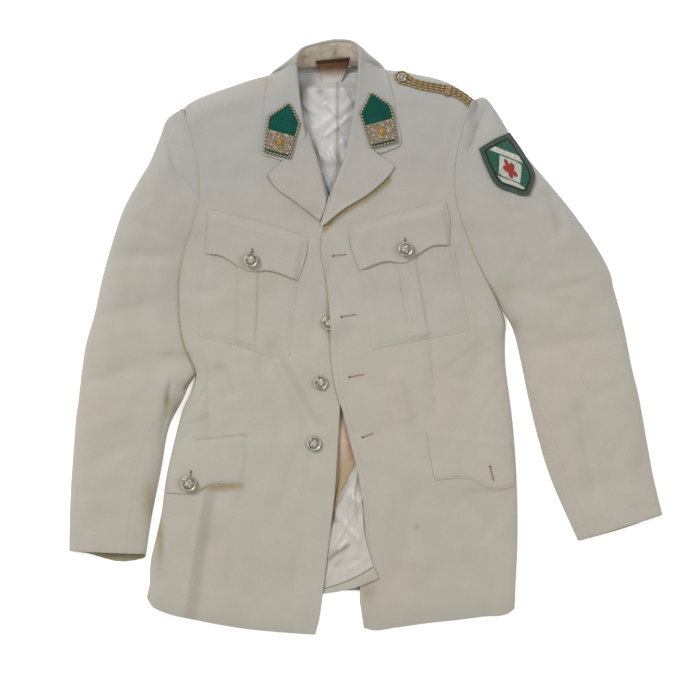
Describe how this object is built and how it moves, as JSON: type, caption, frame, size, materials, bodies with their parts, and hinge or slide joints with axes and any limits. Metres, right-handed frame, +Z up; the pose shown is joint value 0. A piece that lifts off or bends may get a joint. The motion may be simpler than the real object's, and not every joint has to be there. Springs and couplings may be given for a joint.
{
  "type": "dress uniform jacket",
  "caption": "Single-breasted dress uniform jacket laid flat, with notched lapels, pleated flap breast pockets, lower flaps, collar patches and a shoulder cord.",
  "frame": {"origin": "centre of the bounding box at floor level, under the jacket as it lies on its back", "axes": "+Y towards the collar, +X towards the wearer's left sleeve, +Z up out of the floor through the buttoned front"},
  "size_m": [0.768, 0.772, 0.0382],
  "materials": {
    "cream_gabardine": "matt twill",
    "white_satin_lining": "soft satin",
    "stained_stand_cloth": "matt, yellowed",
    "green_felt": "matt felt",
    "silver_lace": "metallic thread lace",
    "gold_cord": "twisted cord",
    "brass_button": "aged gilt",
    "brown_label": "woven"
  },
  "bodies": {
    "root": {"back": "cream_gabardine", "lining_back": "white_satin_lining", "front_right": "cream_gabardine", "front_left": "cream_gabardine", "sleeve_upper_right": "cream_gabardine", "sleeve_under_right": "cream_gabardine", "sleeve_upper_left": "cream_gabardine", "sleeve_under_left": "cream_gabardine", "pocket_breast_right": "cream_gabardine", "pocket_breast_left": "cream_gabardine", "flap_breast_right": "cream_gabardine", "flap_breast_left": "cream_gabardine", "flap_lower_right": "cream_gabardine", "flap_lower_left": "cream_gabardine", "lapel_right": "cream_gabardine", "lapel_left": "cream_gabardine", "collar_fall": "cream_gabardine", "collar_stand": "stained_stand_cloth", "neck_label": "brown_label", "collar_patch_right": "green_felt", "collar_patch_left": "green_felt", "lace_bar_right": "silver_lace", "lace_bar_left": "silver_lace", "star_right": "gold_cord", "star_left": "gold_cord", "shield_badge": "green_felt", "shoulder_cord_outer": "gold_cord", "shoulder_cord_inner": "gold_cord", "button_front_1": "brass_button", "button_front_2": "brass_button", "button_front_3": "brass_button", "button_breast_right": "brass_button", "button_breast_left": "brass_button", "button_flap_right": "brass_button", "button_shoulder": "brass_button", "skirt_lining": "white_satin_lining", "skirt_hem": "cream_gabardine"}
  },
  "joints": []
}
